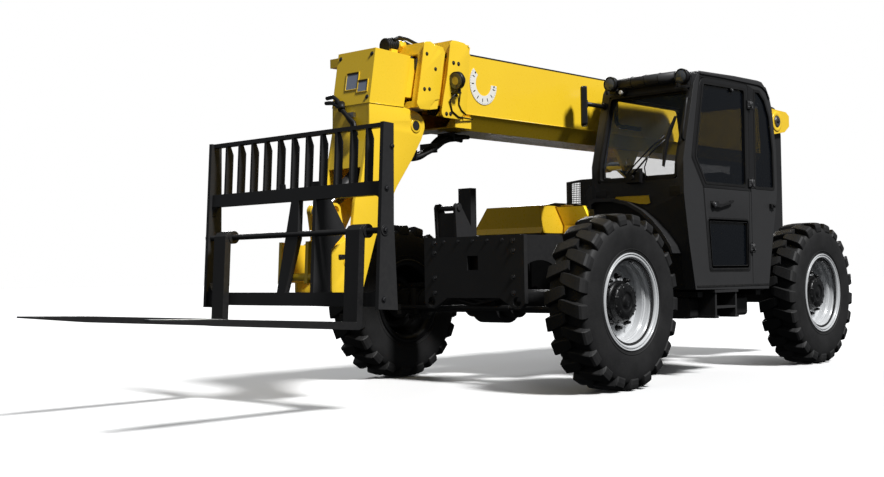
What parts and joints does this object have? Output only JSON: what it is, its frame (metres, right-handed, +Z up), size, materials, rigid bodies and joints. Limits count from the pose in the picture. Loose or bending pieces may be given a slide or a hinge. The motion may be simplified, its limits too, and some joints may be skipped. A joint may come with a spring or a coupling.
{
  "type": "telehandler",
  "caption": "Rough-terrain telescopic handler with rear-pivoted boom, gooseneck, fork carriage with load backrest, side cab, side engine pod and steered wheels.",
  "frame": {"origin": "on the ground, under the middle of the machine's bounding box", "axes": "+X forward towards the fork tips, +Y to the machine's left (cab) side, +Z up"},
  "size_m": [8.4038, 2.592, 2.6048],
  "materials": {
    "yellow_paint": "gloss industrial yellow",
    "black_paint": "satin black",
    "cab_paint": "textured charcoal",
    "wheel_silver": "gloss silver grey",
    "tyre_rubber": "matte rubber",
    "window_glass": "tinted",
    "seat_cover": "woven vinyl",
    "interior_plastic": "grained",
    "lamp_black": "satin",
    "engine_grey": "painted casting",
    "bright_steel": "ground and plated",
    "fork_steel": "worn black forged steel",
    "hose_rubber": "matte"
  },
  "bodies": {
    "chassis": {"left_rail": "black_paint", "right_rail": "black_paint", "frame_cross": "black_paint", "boom_tower": "black_paint", "hood_step": "yellow_paint", "front_plate": "black_paint", "level_bracket": "black_paint", "drive_line": "engine_grey", "counterweight": "black_paint", "fuel_tank": "black_paint", "cab_step": "black_paint", "engine_pod": "black_paint", "pod_grille": "black_paint", "engine_block": "engine_grey", "guard_box": "black_paint", "cab_shell": "cab_paint", "cab_roof": "cab_paint", "cab_glass": "window_glass", "cab_fender": "cab_paint", "seat": "seat_cover", "steering_column": "interior_plastic", "dashboard": "interior_plastic", "roof_lights": "lamp_black", "cab_mirror": "lamp_black", "front_axle": "black_paint", "rear_axle": "black_paint", "boom_pivot_pin": "bright_steel"},
    "engine_hood": {"hood": "yellow_paint", "hood_panel": "black_paint"},
    "door": {"cab_door": "cab_paint", "door_glass": "window_glass"},
    "base_boom": {"boom_base": "yellow_paint"},
    "mid_boom": {"boom_mid": "yellow_paint"},
    "inner_boom": {"boom_inner": "yellow_paint", "gooseneck": "yellow_paint", "hose_bundle": "hose_rubber"},
    "carriage": {"carriage_frame": "black_paint", "coupler": "yellow_paint", "load_backrest": "black_paint", "fork_shaft": "fork_steel"},
    "fork_left": {"left_fork": "fork_steel"},
    "fork_right": {"right_fork": "fork_steel"},
    "lift_cylinder": {"lift_barrel": "black_paint"},
    "lift_piston": {"lift_rod": "bright_steel"},
    "tilt_cylinder": {"tilt_barrel": "black_paint"},
    "tilt_piston": {"tilt_rod": "bright_steel"},
    "front_rod": {"front_track_rod": "black_paint"},
    "rear_rod": {"rear_track_rod": "black_paint"},
    "front_left_steer": {"front_left_knuckle": "black_paint"},
    "front_left_wheel": {"front_left_tyre": "tyre_rubber", "front_left_rim": "wheel_silver"},
    "front_right_steer": {"front_right_knuckle": "black_paint"},
    "front_right_wheel": {"front_right_tyre": "tyre_rubber", "front_right_rim": "wheel_silver"},
    "rear_left_steer": {"rear_left_knuckle": "black_paint"},
    "rear_left_wheel": {"rear_left_tyre": "tyre_rubber", "rear_left_rim": "wheel_silver"},
    "rear_right_steer": {"rear_right_knuckle": "black_paint"},
    "rear_right_wheel": {"rear_right_tyre": "tyre_rubber", "rear_right_rim": "wheel_silver"}
  },
  "joints": [
    {"name": "boom_lift", "type": "hinge", "parent": "chassis", "child": "base_boom", "pos_m": [-3.9438, 0, 2.43], "axis": [0, -1, 0], "range_deg": [-3.5, 68]},
    {"name": "boom_extend", "type": "slide", "parent": "base_boom", "child": "mid_boom", "axis": [1, 0, 0], "range_m": [0, 3.05]},
    {"name": "boom_extend_inner", "type": "slide", "parent": "mid_boom", "child": "inner_boom", "axis": [1, 0, 0], "range_m": [0, 3.05]},
    {"name": "carriage_tilt", "type": "hinge", "parent": "inner_boom", "child": "carriage", "pos_m": [2.2142, 0, 0.964], "axis": [0, -1, 0], "range_deg": [-105, 12]},
    {"name": "left_fork_shift", "type": "slide", "parent": "carriage", "child": "fork_left", "axis": [0, 1, 0], "range_m": [-0.29, 0.105]},
    {"name": "right_fork_shift", "type": "slide", "parent": "carriage", "child": "fork_right", "axis": [0, 1, 0], "range_m": [-0.105, 0.29]},
    {"name": "lift_cylinder_swing", "type": "hinge", "parent": "chassis", "child": "lift_cylinder", "pos_m": [-3.2638, 0, 0.95], "axis": [0, -1, 0], "range_deg": [-4, 54]},
    {"name": "lift_cylinder_stroke", "type": "slide", "parent": "lift_cylinder", "child": "lift_piston", "axis": [0.9076, 0, 0.4198], "range_m": [-0.12, 1.7]},
    {"name": "tilt_cylinder_swing", "type": "hinge", "parent": "inner_boom", "child": "tilt_cylinder", "pos_m": [1.5452, 0, 1.949], "axis": [0, -1, 0], "range_deg": [-12, 6]},
    {"name": "tilt_cylinder_stroke", "type": "slide", "parent": "tilt_cylinder", "child": "tilt_piston", "axis": [0.7575, 0, -0.6529], "range_m": [-0.09, 0.6]},
    {"name": "cab_door_swing", "type": "hinge", "parent": "chassis", "child": "door", "pos_m": [-1.4568, 1.266, 1.6], "axis": [0, 0, 1], "range_deg": [0, 95]},
    {"name": "engine_hood_lift", "type": "hinge", "parent": "chassis", "child": "engine_hood", "pos_m": [-1.3238, -0.452, 1.484], "axis": [-1, 0, 0], "range_deg": [0, 60]},
    {"name": "front_left_steering", "type": "hinge", "parent": "chassis", "child": "front_left_steer", "pos_m": [0.4362, 0.88, 0.65], "axis": [0, 0, 1], "range_deg": [-35, 35]},
    {"name": "front_right_steering", "type": "hinge", "parent": "chassis", "child": "front_right_steer", "pos_m": [0.4362, -0.88, 0.65], "axis": [0, 0, 1], "range_deg": [-35, 35]},
    {"name": "rear_left_steering", "type": "hinge", "parent": "chassis", "child": "rear_left_steer", "pos_m": [-2.7283, 0.88, 0.65], "axis": [0, 0, 1], "range_deg": [-35, 35]},
    {"name": "rear_right_steering", "type": "hinge", "parent": "chassis", "child": "rear_right_steer", "pos_m": [-2.7283, -0.88, 0.65], "axis": [0, 0, 1], "range_deg": [-35, 35]},
    {"name": "front_track_rod_shift", "type": "slide", "parent": "chassis", "child": "front_rod", "axis": [0, 1, 0], "range_m": [-0.115, 0.115]},
    {"name": "rear_track_rod_shift", "type": "slide", "parent": "chassis", "child": "rear_rod", "axis": [0, 1, 0], "range_m": [-0.115, 0.115]},
    {"name": "front_left_spin", "type": "hinge", "parent": "front_left_steer", "child": "front_left_wheel", "pos_m": [0.4362, 1.126, 0.65], "axis": [0, 1, 0], "continuous": true},
    {"name": "front_right_spin", "type": "hinge", "parent": "front_right_steer", "child": "front_right_wheel", "pos_m": [0.4362, -1.126, 0.65], "axis": [0, 1, 0], "continuous": true},
    {"name": "rear_left_spin", "type": "hinge", "parent": "rear_left_steer", "child": "rear_left_wheel", "pos_m": [-2.7283, 1.126, 0.65], "axis": [0, 1, 0], "continuous": true},
    {"name": "rear_right_spin", "type": "hinge", "parent": "rear_right_steer", "child": "rear_right_wheel", "pos_m": [-2.7283, -1.126, 0.65], "axis": [0, 1, 0], "continuous": true}
  ],
  "couplings": [
    {"joint": "boom_extend_inner", "follows": "boom_extend", "ratio": 1},
    {"joint": "lift_cylinder_swing", "follows": "boom_lift", "ratio": 0.77023},
    {"joint": "lift_cylinder_stroke", "follows": "boom_lift", "m_per_rad": 1.3884},
    {"joint": "tilt_cylinder_swing", "follows": "carriage_tilt", "ratio": 0.07666},
    {"joint": "tilt_cylinder_stroke", "follows": "carriage_tilt", "m_per_rad": -0.29765},
    {"joint": "front_right_steering", "follows": "front_left_steering", "ratio": 1},
    {"joint": "rear_right_steering", "follows": "rear_left_steering", "ratio": 1},
    {"joint": "front_track_rod_shift", "follows": "front_left_steering", "m_per_rad": 0.1831},
    {"joint": "rear_track_rod_shift", "follows": "rear_left_steering", "m_per_rad": -0.1831}
  ]
}
